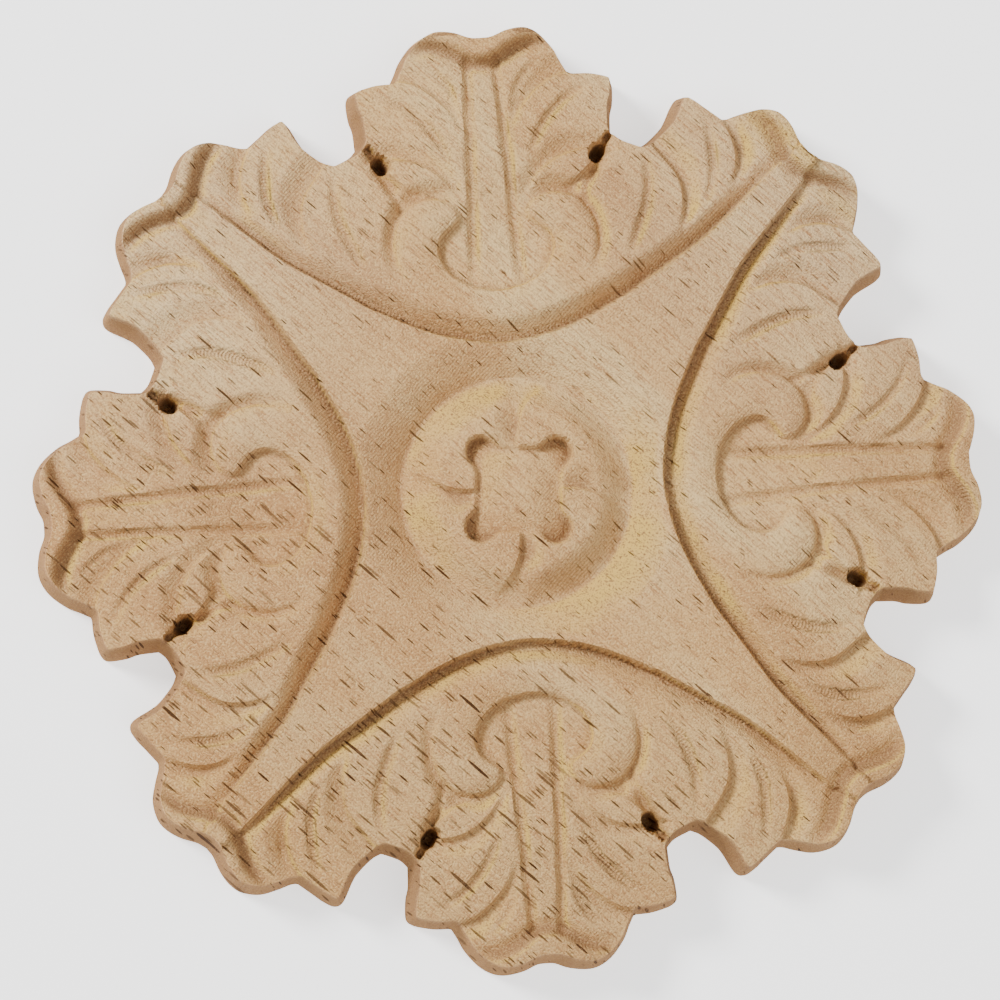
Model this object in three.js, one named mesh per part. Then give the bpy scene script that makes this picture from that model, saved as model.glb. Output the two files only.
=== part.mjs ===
// Round carved wood rosette: eight acanthus leaves around a four-armed field and a domed button.
// It is one board carved on its face, flat on its back, lying face up with the origin at the
// middle of the back and +Y towards one of the four leaves that carry a scrolled collar.
import * as THREE from 'three';

// Driving dimensions, in millimetres unless the name says otherwise.
const diameter = 150;
const uprightEdge = 1.5;
const wallDraftDegrees = 9;

// Levels above the back.
const buttonLevel = 13.9;
const fieldLevel = 12.9;
const leafLevel = 12.6;
const moatLevel = 9.4;
const dishRimLevel = 13.3;
const eyeFloor = 4;
const eyeMouthFloor = 8.5;

// Falls and depths of the carving, measured down from the level they are cut into.
const leafFall = 3.6;
const fieldFall = 2.3;
const buttonFall = 4.3;
const recessDepth = 0.3;
const recessFall = 0.028;
const petalStep = 1.2;
const coveDepth = 2.7;
const collarDepth = 2.1;
const collarRound = 0.5;
const lobeStep = 1.3;
const lowerLobeStep = 1.6;
const leafletStep = 1.2;
const veinDepth = 0.65;
const lowerVeinDepth = 0.8;
const shortVeinDepth = 0.5;
const fluteDepth = 0.9;
const stripDepth = 1.2;
const lipRise = 2.3;
const lipFootDepth = 0.6;

// The plan is drawn on a 75 mm radius, and every point of it keeps its share of the real radius.
// The carving sits a little inside the outline that is drawn around it.
const drawingRadius = 75;
const planScale = diameter / 2 / drawingRadius;
const carvingScale = 0.983;
const stepFace = 0.65;
const lipFace = 2.1;
const lipFootHalf = 1.4;
const fieldFallStart = 45;
const fieldFallEnd = 70;
const leafFallStart = 34;
const collarRoundReach = 3;
const wellStart = 40;
const wellEnd = 56;
const wellBlendStart = 0.54;
const wellBlendEnd = 0.64;
const buttonRadius = 18.3;
const buttonOffset = 0.5;
const buttonShoulder = 12.5;
const buttonBulge = 0.3;
const dishRadius = 31.2;
const dishPower = 2.6;
const recessHalf = 7.1;
const recessTurnDegrees = -4.4;
const recessLobeCentre = 6;
const recessLobeRadius = 2.7;
const recessFace = 0.8;
const recessBlend = 1.4;
const petalReach = 5;
const eyeRadius = 0.7;
const eyeMouthRadius = 0.5;
const eyeSlope = 10;

// Fineness of the faceted surface.
const outlineStep = 1.9;
const featureStep = 2.2;
const sampleStep = 0.5;
const leastGap = 0.62;
const coarseStep = 6;
const topPointLimit = 4150;
const refiningRounds = 9;
const refinedEdgeShare = 0.7;
const wallTopShare = 0.97;
const placesPerUnit = 1000;
const sampleRow = 10000;
const shift = 1e-5;
const shiftTurnX = 13;
const shiftTurnY = 78.2;

// Plan lines are in leaf coordinates: across the leaf, then outwards from the centre.
const halfLeafEnd = [[0, 73.6], [1.4, 73.7], [3.7, 74.6], [6.6, 75], [8.7, 74.5], [10.7, 73.1],
  [12.6, 70.7], [13.5, 68.8], [14.4, 67.1]];
const halfLeafBarb = [[14.4, 67.1], [17, 67], [19.3, 66.5], [20.6, 66], [21.4, 65], [21.2, 62],
  [20.7, 60.2], [20.5, 57]];
const notch = [[20.5, 57], [21.7, 55.8], [24.4, 54.6]];
const halfArmLeafEnd = [[0, 73.1], [1.6, 73.4], [4.1, 74.5], [6.5, 75], [8.7, 74.7], [11.1, 73.1],
  [12.7, 70.7], [13.7, 68.8], [14.4, 68]];
const halfArmLeafBarb = [[14.4, 68], [17.3, 67.7], [19.3, 67.5], [21.2, 66.9], [21.7, 65.5],
  [20.8, 62.4], [20.5, 60.7], [20.7, 57.6], [21.3, 55.9]];

function smooth(from, to, value) {
  const share = THREE.MathUtils.clamp((value - from) / (to - from), 0, 1);
  return share * share * (3 - 2 * share);
}

// Arm leaves lie on the diagonals, so their coordinates are turned by an eighth of a turn.
function fromArmLeaf(points) {
  return points.map(([across, out]) => [(out - across) * Math.SQRT1_2, (out + across) * Math.SQRT1_2]);
}

function curveThrough(points, step) {
  const curve = new THREE.CatmullRomCurve3(
    points.map(([x, y]) => new THREE.Vector3(x * planScale, y * planScale, 0)), false, 'catmullrom', 0.5);
  return curve.getSpacedPoints(Math.max(2, Math.round(curve.getLength() / step)));
}

// Distance to a line of points, positive on the left of its travel, with the share of its length.
function nearest(line, x, y) {
  let best = Infinity;
  let side = 1;
  let place = 0;
  for (let i = 0; i + 1 < line.length; i++) {
    const start = line[i];
    const dx = line[i + 1].x - start.x;
    const dy = line[i + 1].y - start.y;
    const px = x - start.x;
    const py = y - start.y;
    const along = Math.min(1, Math.max(0, (px * dx + py * dy) / (dx * dx + dy * dy)));
    const offX = px - along * dx;
    const offY = py - along * dy;
    const square = offX * offX + offY * offY;
    if (square < best) {
      best = square;
      side = dx * py < dy * px ? -1 : 1;
      place = i + along;
    }
  }
  return { distance: Math.sqrt(best) * side, place: place / (line.length - 1) };
}

// A value that changes evenly along a line, from a few stops.
function between(stops, place) {
  const position = place * (stops.length - 1);
  const index = Math.min(Math.floor(position), stops.length - 2);
  return THREE.MathUtils.lerp(stops[index], stops[index + 1], position - index);
}

// One eighth of the outline, from the axis of a collared leaf to the axis of an arm leaf.
function eighthOutline() {
  const pieces = [halfLeafEnd, halfLeafBarb, notch,
    fromArmLeaf(halfArmLeafBarb).reverse(), fromArmLeaf(halfArmLeafEnd).reverse()];
  const points = [];
  for (const piece of pieces) {
    points.push(...curveThrough(piece, outlineStep * planScale).slice(0, -1));
  }
  const [endX, endY] = fromArmLeaf(halfArmLeafEnd)[0];
  points.push(new THREE.Vector3(endX * planScale, endY * planScale, 0));
  return points;
}

// The eighth is repeated a little past both of its mirror lines, so that distances are true there.
function pastMirrors(points, count = 5) {
  const lead = points.slice(1, count + 1).reverse().map((p) => new THREE.Vector3(-p.x, p.y, 0));
  const tail = points.slice(-count - 1, -1).reverse().map((p) => new THREE.Vector3(p.y, p.x, 0));
  return [...lead, ...points, ...tail];
}

const outlinePiece = eighthOutline();
const outlineLine = pastMirrors(outlinePiece);

// The collar is the scrolled band around the foot of a leaf: a crisp edge over the well inside it,
// that runs on around both scrolls. The well climbs back outwards along the leaf.
const collar = {
  points: [[-4.5, 33], [0, 32], [4.7, 33], [7.9, 35.2], [9.4, 38], [9.5, 40], [8.7, 41.8], [7.2, 43],
    [5.9, 44.2], [6.3, 45.7], [7.8, 46.8], [9.7, 47.3], [12.3, 46.8], [14.3, 45.3], [15.5, 43],
    [16, 40], [15.4, 37], [14.1, 34.9]],
  side: 1, share: [1, 1, 1, 1, 1, 1, 1, 1, 0.9, 0.85, 0.8, 0.65, 0.4, 0],
  reach: [8, 8, 8, 8, 7, 5, 4, 4, 4, 3.6, 3, 2.6, 2.6, 2.6],
};
const collarRoundEnd = 0.75;

// Steps are crisp edges: the surface drops on one side and climbs back over the reach.
const steps = [
  // Leaf lobe.
  { side: -1, depth: lobeStep,
    points: [[15.5, 67.2], [14.2, 67], [12, 66.7], [10, 65.6], [7.6, 63.5], [5.7, 61], [4.6, 58]],
    share: [1, 1, 1, 0.9, 0.8, 0.5, 0], reach: [4.5, 4.5, 4.5, 4, 3, 2] },
  // Leaflet.
  { side: -1, depth: leafletStep,
    points: [[17.4, 53.9], [14.2, 53.9], [11.2, 53], [8.6, 51.2], [6.6, 48.9], [5.2, 46.4]],
    share: [1, 1, 1, 0.8, 0.6, 0], reach: [4, 4, 4, 3.5, 3, 2] },
  // Pocket.
  { side: 1, depth: leafletStep,
    points: [[16.9, 52.8], [14.6, 50.6], [12.8, 49.5], [10.8, 48.9]],
    share: [1, 1, 0.8, 0], reach: [3, 3, 3, 2] },
  // Arm leaf upper lobe.
  { side: 1, depth: lobeStep,
    points: fromArmLeaf([[15.6, 67.9], [14.3, 67.7], [12, 67], [9.2, 65.3], [7.2, 62.8], [6.2, 59.6]]),
    share: [1, 1, 1, 0.9, 0.6, 0], reach: [4.5, 4.5, 4.5, 4, 3, 2] },
  // Arm leaf lower lobe.
  { side: 1, depth: lowerLobeStep,
    points: fromArmLeaf([[21.5, 56.9], [20.2, 56.8], [17, 56.4], [13.6, 55.7], [11, 54], [9, 51.5],
      [7.6, 48.5]]),
    share: [1, 1, 1, 0.95, 0.8, 0.5, 0], reach: [5.5, 5.5, 5.5, 5, 4, 3, 2] },
];

// Grooves are round-bottomed cuts that fade out at their inner ends.
const grooves = [
  // Flute.
  { depth: fluteDepth, share: [0.9, 1.2, 1, 1, 0.9, 0.2], width: [0.9, 0.95, 1, 1],
    points: [[2.3, 70], [2.5, 65], [2.8, 58], [3.1, 50], [3.5, 40], [3.9, 33]] },
  // Leaf end vein.
  { depth: shortVeinDepth, share: [0, 1, 1, 0], width: [0.7, 0.8, 0.6],
    points: [[9.4, 70], [7, 67.8], [5.3, 65.3], [4.4, 62.5]] },
  // Leaf barb vein.
  { depth: veinDepth, share: [0, 0.9, 1, 0.7, 0], width: [0.7, 0.85, 0.85, 0.6],
    points: [[17.2, 65.3], [12.4, 62.5], [9.2, 59], [7.4, 55.7], [6.4, 52.5]] },
  // Arm leaf end vein.
  { depth: shortVeinDepth, share: [0, 1, 0], width: [0.7, 0.8, 0.6],
    points: fromArmLeaf([[12.4, 69], [8.8, 66.6], [6.4, 63.6]]) },
  // Arm leaf upper vein.
  { depth: veinDepth, share: [0, 0.9, 1, 0.8, 0], width: [0.7, 0.9, 0.95, 0.6],
    points: fromArmLeaf([[16.5, 66.6], [12.4, 63.4], [9.7, 60.7], [8, 57.7], [7, 54.5]]) },
  // Arm leaf lower vein.
  { depth: lowerVeinDepth, share: [0, 0.9, 1, 0.9, 0],
    width: [0.7, 0.95, 1.05, 1, 0.7],
    points: fromArmLeaf([[20, 55.1], [16.8, 52.6], [14.2, 49.2], [12.4, 45], [10.8, 40.8]]) },
  // Strip.
  { depth: stripDepth, share: [1, 0.9, 0.7, 0.2], width: [1.1, 1, 0.85, 0.6],
    points: [[17.6, 53], [16.4, 50], [15.2, 47.2], [14.7, 45.3]] },
];

// Lips are the curled leaf ends: the surface climbs outwards from the foot line.
const lips = [
  { side: 1, points: [[-1.6, 69.1], [0, 68.9], [1.6, 69.1], [3.3, 69.9], [5.3, 71.2], [7.8, 72.2],
    [10.3, 72], [12.3, 71.1]] },
  { side: -1, points: fromArmLeaf([[-1.6, 69.1], [0, 68.9], [1.6, 69.1], [3.3, 69.8], [5.4, 71.1],
    [8, 72.1], [10.6, 72], [12.6, 71.2]]) },
];
const lipShare = [1, 1, 1, 1, 1, 0.85, 0.45, 0];

const lineStep = 1 * planScale;
for (const feature of [collar, ...steps, ...grooves, ...lips]) {
  feature.line = curveThrough(feature.points, lineStep);
}

// The field edge is the crisp rim of the four-armed field, above a cove that follows it outwards.
const fieldEdge = curveThrough([[-10, 25.3], [0, 23.6], [10, 25.3], [19.8, 29.7], [24.2, 32.4],
  [28.5, 35.1], [32.9, 37.9], [37.2, 41.3], [44.4, 47.8], [47.5, 50.4]], lineStep);
const coveShare = [0.95, 0.95, 0.95, 1, 1, 0.9, 0.8, 0.7, 0.5, 0.1];
const coveReach = [4.6, 4.6, 4.6, 4.6, 4.6, 4.4, 4, 3.6, 3.2, 2.8];

// Each petal of the button overlaps the next one along a swept line out of the recess.
const petalLine = curveThrough([[0.6, 5], [0.6, 7.6], [0.8, 9.8], [1.6, 12], [3, 14.2], [5.2, 16.4]],
  lineStep);
const petalShare = [0, 0.9, 1, 0.9, 0.6, 0];

// An eye is a round pit beside each collared leaf, with a shallower channel out to the notch.
const eyeLine = curveThrough([[17.3, 53.5], [19.4, 56.3]], 4 * planScale);
const eyeFloors = [eyeFloor, eyeFloor, eyeMouthFloor, eyeMouthFloor];
const eyeRadii = [eyeRadius, eyeRadius, eyeMouthRadius, eyeMouthRadius];

function stepProfile(distance, face, reach) {
  if (distance <= 0) return 0;
  return smooth(0, face, distance) * (1 - smooth(face, reach, distance));
}

// How far the collar's edge and rounding take the leaf down.
function collarDrop(u, v) {
  const { distance, place } = nearest(collar.line, u, v);
  const face = stepFace * planScale;
  const inWell = 1 - smooth(wellBlendStart, wellBlendEnd, place);
  const well = smooth(0, face, distance) * (1 - smooth(wellStart, wellEnd, v / planScale));
  const around = stepProfile(distance, face, between(collar.reach, place) * planScale);
  const shoulder = distance < 0
    ? Math.max(0, 1 + distance / (collarRoundReach * planScale)) ** 2
    : 1 - smooth(0, face, distance);
  return collarDepth * between(collar.share, place) * THREE.MathUtils.lerp(around, well, inWell)
    + collarRound * shoulder * (1 - smooth(collarRoundEnd, 1, place));
}

function lipHeight(outwards) {
  const foot = Math.max(0, 1 - (outwards / (lipFootHalf * planScale)) ** 2);
  return lipRise * smooth(0, lipFace * planScale, outwards) - lipFootDepth * foot;
}

function leafHeight(u, v, radius) {
  const fall = Math.max(0, radius / planScale - leafFallStart) / (drawingRadius - leafFallStart);
  let height = leafLevel - leafFall * fall ** 2 - collarDrop(u, v);
  for (const step of steps) {
    const { distance, place } = nearest(step.line, u, v);
    const profile = stepProfile(distance * step.side, stepFace * planScale,
      between(step.reach, place) * planScale);
    height -= step.depth * between(step.share, place) * profile;
  }
  for (const groove of grooves) {
    const { distance, place } = nearest(groove.line, u, v);
    const share = distance / (between(groove.width, place) * planScale);
    height -= groove.depth * between(groove.share, place) * Math.max(0, 1 - share ** 2);
  }
  for (const lip of lips) {
    const { distance, place } = nearest(lip.line, u, v);
    height += between(lipShare, place) * lipHeight(distance * lip.side);
  }
  return height;
}

function fieldHeight(armDistance) {
  const fall = (armDistance / planScale - fieldFallStart) / (fieldFallEnd - fieldFallStart);
  return fieldLevel - fieldFall * THREE.MathUtils.clamp(fall, 0, 1) ** 2;
}

function buttonHeight(x, y, radius) {
  const drawn = radius / planScale;
  const crown = THREE.MathUtils.lerp(smooth(buttonShoulder, buttonRadius, drawn),
    (drawn / buttonRadius) ** 2, buttonBulge);
  let height = buttonLevel - buttonFall * crown;
  for (let turn = 0; turn < 4; turn++) {
    const [tx, ty] = [[x, y], [-y, x], [-x, -y], [y, -x]][turn];
    const { distance, place } = nearest(petalLine, tx, ty);
    height -= petalStep * between(petalShare, place)
      * stepProfile(distance, stepFace * planScale, petalReach * planScale);
  }
  const turned = new THREE.Vector2(x, y)
    .rotateAround(new THREE.Vector2(), THREE.MathUtils.degToRad(-recessTurnDegrees));
  const across = Math.abs(turned.x) / planScale;
  const up = Math.abs(turned.y) / planScale;
  const square = Math.max(across, up) - recessHalf;
  const lobe = Math.hypot(across - recessLobeCentre, up - recessLobeCentre) - recessLobeRadius;
  const blend = Math.max(0, recessBlend - Math.abs(square - lobe));
  const edge = Math.min(square, lobe) - blend * blend / (4 * recessBlend);
  const inside = 1 - smooth(-recessFace, 0, edge);
  const floor = buttonLevel - recessDepth - recessFall * drawn ** 2;
  return THREE.MathUtils.lerp(height, Math.min(height, floor), inside);
}

// Height of the carved face before the side walls are cut.
function carvedHeight(planX, planY) {
  const x = planX / carvingScale;
  const y = planY / carvingScale;
  const buttonX = x - buttonOffset * planScale;
  const fromButton = Math.hypot(buttonX, y);
  if (fromButton < buttonRadius * planScale) {
    return Math.max(buttonHeight(buttonX, y, fromButton), moatLevel);
  }
  const radius = Math.hypot(x, y);
  const u = Math.min(Math.abs(x), Math.abs(y));
  const v = Math.max(Math.abs(x), Math.abs(y));
  const field = fieldHeight((u + v) * Math.SQRT1_2);
  const { distance, place } = nearest(fieldEdge, u, v);
  const face = stepFace * planScale;
  let height = field;
  if (distance > 0) {
    const cove = coveDepth * between(coveShare, place)
      * stepProfile(distance, face, between(coveReach, place) * planScale);
    height = THREE.MathUtils.lerp(field, leafHeight(u, v, radius) - cove, smooth(0, face, distance));
  } else {
    const tip = lips[1];
    const lip = nearest(tip.line, u, v);
    height += lipHeight(lip.distance * tip.side);
  }
  const wayOut = (radius / planScale - buttonRadius) / (dishRadius - buttonRadius);
  const share = THREE.MathUtils.clamp(wayOut, 0, 1);
  const dish = moatLevel + (dishRimLevel - moatLevel) * (1 - (1 - share) ** dishPower);
  if (share < 1) height = Math.min(height, dish);
  const eye = nearest(eyeLine, u, v);
  const eyeWall = Math.abs(eye.distance) - between(eyeRadii, eye.place) * planScale;
  return Math.min(height, between(eyeFloors, eye.place) + eyeSlope * Math.max(0, eyeWall));
}

// Finished height: the drafted side wall climbs inwards from the upright edge.
function surfaceHeight(x, y) {
  const u = Math.min(Math.abs(x), Math.abs(y));
  const v = Math.max(Math.abs(x), Math.abs(y));
  const inwards = Math.max(0, -nearest(outlineLine, u, v).distance);
  const wall = uprightEdge + inwards / Math.tan(THREE.MathUtils.degToRad(wallDraftDegrees));
  return Math.min(wall, carvedHeight(x, y));
}

function insideOutline(u, v) {
  return -nearest(outlineLine, u, v).distance;
}

// Whole outline, anticlockwise, by mirroring the eighth and turning the quarter.
function wholeOutline() {
  const mirrored = outlinePiece.slice(1, -1).map((p) => new THREE.Vector2(-p.x, p.y));
  const diagonalToAxis = outlinePiece.slice(1).reverse().map((p) => new THREE.Vector2(p.x, p.y));
  const quarter = [...diagonalToAxis, new THREE.Vector2(outlinePiece[0].x, outlinePiece[0].y), ...mirrored];
  const points = [];
  for (let turn = 0; turn < 4; turn++) {
    for (const p of quarter) {
      points.push([p, new THREE.Vector2(-p.y, p.x), new THREE.Vector2(-p.x, -p.y),
        new THREE.Vector2(p.y, -p.x)][turn].clone());
    }
  }
  return points;
}

// The plan points start from the outline, the top of its wall and the crisp lines of the carving.
const outline = wholeOutline();
const points = outline.map((p) => p.clone());
const takenPlaces = new Set(points.map(placeKey));

function placeKey(p) {
  return `${Math.round(p.x * placesPerUnit)} ${Math.round(p.y * placesPerUnit)}`;
}

function isClear(x, y, gap) {
  return points.every((p) => (p.x - x) ** 2 + (p.y - y) ** 2 > gap * gap);
}

// Leaves repeat by turning and mirroring, the petals of the button only by turning.
function addCopies(x, y) {
  const middle = buttonOffset * planScale * carvingScale;
  const isButton = Math.hypot(x - middle, y) < buttonRadius * planScale * carvingScale;
  const turned = isButton
    ? [[x, y], [middle - y, x - middle], [2 * middle - x, -y], [middle + y, middle - x]]
    : [[x, y], [-y, x], [-x, -y], [y, -x]];
  const copies = isButton ? turned : [...turned, ...turned.map(([a, b]) => [b, a])];
  for (const [copyX, copyY] of copies) {
    const point = new THREE.Vector2(copyX, copyY);
    const key = placeKey(point);
    if (takenPlaces.has(key)) continue;
    takenPlaces.add(key);
    points.push(point);
  }
}

function addEighthPoint(x, y) {
  const gap = leastGap * planScale;
  if (x < 0 || x > y || insideOutline(x, y) < gap) return;
  if (x > 0 && x < gap / 2) return;
  if (y - x > 0 && y - x < gap * Math.SQRT1_2) return;
  if (isClear(x, y, gap)) addCopies(x, y);
}

function addBeside(line, i, offset) {
  const ahead = line[Math.min(i + 1, line.length - 1)];
  const behind = line[Math.max(i - 1, 0)];
  const length = Math.hypot(ahead.x - behind.x, ahead.y - behind.y);
  const leftX = -(ahead.y - behind.y) / length;
  const leftY = (ahead.x - behind.x) / length;
  addEighthPoint((line[i].x + leftX * offset) * carvingScale, (line[i].y + leftY * offset) * carvingScale);
}

function addWallTop() {
  const slope = Math.tan(THREE.MathUtils.degToRad(wallDraftDegrees));
  for (let i = 1; i + 1 < outlineLine.length; i++) {
    const { x, y } = outlineLine[i];
    const ahead = outlineLine[i + 1];
    const behind = outlineLine[i - 1];
    const length = Math.hypot(ahead.x - behind.x, ahead.y - behind.y);
    const inX = (ahead.y - behind.y) / length;
    const inY = -(ahead.x - behind.x) / length;
    let inset = 1;
    for (let round = 0; round < 4; round++) {
      const probe = [Math.abs(x + inX * inset), Math.abs(y + inY * inset)];
      inset = (carvedHeight(Math.min(...probe), Math.max(...probe)) - uprightEdge) * slope;
    }
    if (insideOutline(x + inX * inset, y + inY * inset) > inset * wallTopShare) {
      addEighthPoint(x + inX * inset, y + inY * inset);
    }
  }
}

function addFeaturePoints() {
  const every = Math.round(featureStep * planScale / lineStep);
  const face = stepFace * planScale;
  const crispLines = [{ line: fieldEdge, side: 1 }, collar, ...steps, ...lips];
  for (const { line, side } of crispLines) {
    for (let i = 0; i < line.length; i += every) {
      addBeside(line, i, 0);
      addBeside(line, i, face * side);
    }
  }
  for (const groove of grooves) {
    for (let i = 0; i < groove.line.length; i += every) addBeside(groove.line, i, 0);
  }
}

function addCoarseGrid() {
  const step = coarseStep * planScale;
  const count = Math.ceil(diameter / 2 / step);
  for (let i = 0; i <= count; i++) {
    for (let j = i; j <= count; j++) addEighthPoint(i * step, j * step);
  }
}

// Delaunay triangles of the plan points, swept along x. A shift far below any real size keeps
// points on one circle apart.
function triangulate() {
  const span = diameter * 20;
  const places = points.map((p, i) => ({
    index: i, x: p.x + shift * Math.sin(i * shiftTurnX),
    y: p.y + shift * Math.sin(i * shiftTurnY) }));
  const corners = [{ index: -1, x: -span, y: -span }, { index: -2, x: span, y: -span },
    { index: -3, x: 0, y: span }];
  const done = [];
  let open = [withCircle(...corners)];
  for (const place of places.sort((a, b) => a.x - b.x)) {
    const edges = new Map();
    const kept = [];
    for (const triangle of open) {
      const dx = place.x - triangle.x;
      const dy = place.y - triangle.y;
      if (dx > 0 && dx * dx > triangle.radiusSquared) {
        done.push(triangle);
      } else if (dx * dx + dy * dy < triangle.radiusSquared) {
        const [a, b, c] = triangle.corners;
        for (const [from, to] of [[a, b], [b, c], [c, a]]) {
          const back = `${to.index} ${from.index}`;
          if (edges.has(back)) edges.delete(back);
          else edges.set(`${from.index} ${to.index}`, [from, to]);
        }
      } else {
        kept.push(triangle);
      }
    }
    for (const [from, to] of edges.values()) kept.push(withCircle(from, to, place));
    open = kept;
  }
  return [...done, ...open].map((triangle) => triangle.corners.map((corner) => corner.index))
    .filter(isInsideOutline);
}

function withCircle(a, b, c) {
  const bx = b.x - a.x;
  const by = b.y - a.y;
  const cx = c.x - a.x;
  const cy = c.y - a.y;
  const twice = 2 * (bx * cy - by * cx);
  const x = (cy * (bx * bx + by * by) - by * (cx * cx + cy * cy)) / twice;
  const y = (bx * (cx * cx + cy * cy) - cx * (bx * bx + by * by)) / twice;
  return { corners: [a, b, c], x: a.x + x, y: a.y + y, radiusSquared: x * x + y * y };
}

function isInsideOutline([a, b, c]) {
  if (Math.min(a, b, c) < 0) return false;
  const x = Math.abs(points[a].x + points[b].x + points[c].x) / 3;
  const y = Math.abs(points[a].y + points[b].y + points[c].y) / 3;
  return insideOutline(Math.min(x, y), Math.max(x, y)) > 0;
}

const sample = sampleStep * planScale;
const sampleHeights = new Map();

function sampleHeight(i, j) {
  const key = i * sampleRow + j;
  if (!sampleHeights.has(key)) sampleHeights.set(key, surfaceHeight(i * sample, j * sample));
  return sampleHeights.get(key);
}

// The sample of a triangle where the flat facet is furthest from the carved surface.
function worstSample([a, b, c], heights) {
  const [pa, pb, pc] = [points[a], points[b], points[c]];
  const area = (pb.x - pa.x) * (pc.y - pa.y) - (pb.y - pa.y) * (pc.x - pa.x);
  const worst = { error: 0 };
  const first = Math.ceil(Math.min(pa.x, pb.x, pc.x) / sample);
  const last = Math.floor(Math.max(pa.x, pb.x, pc.x) / sample);
  const low = Math.ceil(Math.min(pa.y, pb.y, pc.y) / sample);
  const high = Math.floor(Math.max(pa.y, pb.y, pc.y) / sample);
  for (let i = first; i <= last; i++) {
    for (let j = low; j <= high; j++) {
      const x = i * sample;
      const y = j * sample;
      const shareB = ((x - pa.x) * (pc.y - pa.y) - (y - pa.y) * (pc.x - pa.x)) / area;
      const shareC = ((pb.x - pa.x) * (y - pa.y) - (pb.y - pa.y) * (x - pa.x)) / area;
      const shareA = 1 - shareB - shareC;
      if (Math.min(shareA, shareB, shareC) < 0) continue;
      const facet = heights[a] * shareA + heights[b] * shareB + heights[c] * shareC;
      const error = Math.abs(sampleHeight(i, j) - facet);
      if (error > worst.error) Object.assign(worst, { error, x, y });
    }
  }
  return worst;
}

function pointHeights() {
  return points.map((p, i) => (i < outline.length ? uprightEdge : surfaceHeight(p.x, p.y)));
}

// Points are added where the facets miss the carved surface most, until the limit is reached.
function refine() {
  const gap = leastGap * planScale;
  for (let round = 0; round < refiningRounds; round++) {
    const heights = pointHeights();
    const worst = triangulate().map((triangle) => worstSample(triangle, heights))
      .filter((found) => found.error > 0).sort((a, b) => b.error - a.error);
    const limit = points.length + (topPointLimit - points.length) / (refiningRounds - round);
    for (const { x, y } of worst) {
      if (points.length >= limit) break;
      const u = Math.min(Math.abs(x), Math.abs(y));
      const v = Math.max(Math.abs(x), Math.abs(y));
      if (insideOutline(u, v) > gap * refinedEdgeShare && isClear(x, y, gap)) addCopies(x, y);
    }
  }
}

addWallTop();
addFeaturePoints();
addCoarseGrid();
refine();

function rosetteGeometry() {
  const heights = pointHeights();
  const positions = points.flatMap((p, i) => [p.x, p.y, heights[i]]);
  const backStart = points.length;
  for (const p of outline) positions.push(p.x, p.y, 0);
  const faces = triangulate();
  for (let i = 0; i < outline.length; i++) {
    const next = (i + 1) % outline.length;
    faces.push([backStart + i, backStart + next, next], [backStart + i, next, i]);
  }
  for (const [a, b, c] of THREE.ShapeUtils.triangulateShape(outline.map((p) => p.clone()), [])) {
    faces.push([backStart + c, backStart + b, backStart + a]);
  }
  const geometry = new THREE.BufferGeometry();
  geometry.setAttribute('position', new THREE.Float32BufferAttribute(positions, 3));
  geometry.setIndex(faces.flat());
  geometry.computeVertexNormals();
  return geometry;
}

const rubberwood = new THREE.MeshStandardMaterial({
  color: new THREE.Color().setRGB(0.769, 0.647, 0.518, THREE.SRGBColorSpace),
  roughness: 0.75, metalness: 0, flatShading: true });
const rosette = new THREE.Mesh(rosetteGeometry(), rubberwood);
rosette.name = 'rosette';

const part = new THREE.Group();
part.add(rosette);
export default part;
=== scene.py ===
"""Round carved rubberwood rosette, lying face up, seen nearly straight down from its lower left."""
import math

import bmesh
import bpy
import numpy as np
from mathutils import Matrix, Vector


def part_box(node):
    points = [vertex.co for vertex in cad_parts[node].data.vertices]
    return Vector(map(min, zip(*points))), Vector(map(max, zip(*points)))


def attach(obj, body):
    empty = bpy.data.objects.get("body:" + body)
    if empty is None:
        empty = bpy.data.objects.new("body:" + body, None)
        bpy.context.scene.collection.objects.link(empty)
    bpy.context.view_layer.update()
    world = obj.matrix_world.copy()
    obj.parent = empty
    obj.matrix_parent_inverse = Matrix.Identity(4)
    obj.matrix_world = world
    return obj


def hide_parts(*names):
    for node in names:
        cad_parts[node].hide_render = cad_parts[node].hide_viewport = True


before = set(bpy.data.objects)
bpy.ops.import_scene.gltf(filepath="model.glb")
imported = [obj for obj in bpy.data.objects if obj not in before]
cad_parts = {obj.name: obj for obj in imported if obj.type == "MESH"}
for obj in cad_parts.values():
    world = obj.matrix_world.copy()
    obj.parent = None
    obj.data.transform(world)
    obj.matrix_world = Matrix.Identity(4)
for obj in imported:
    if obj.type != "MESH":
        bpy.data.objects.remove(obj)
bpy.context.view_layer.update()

# The carved board: one round of rubberwood with a flat back, cut to its leafy outline and carved
# on its face by a machine's round-nosed cutter. It is glued or pinned on by its back.
# Plan points are in millimetres of a drawing with a radius of 75: across a leaf, then outwards.
_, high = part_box("rosette")
MILLIMETRE = 0.001
DRAWN_RADIUS = 75
PLAN = high[1] / MILLIMETRE / DRAWN_RADIUS
UPRIGHT_EDGE = 1.5
WALL_DRAFT = math.radians(9)
CELL = 0.41
KNOT_SAMPLES = 24
TINY = 1e-6
OUTLINE_STEP = 0.5

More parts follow.
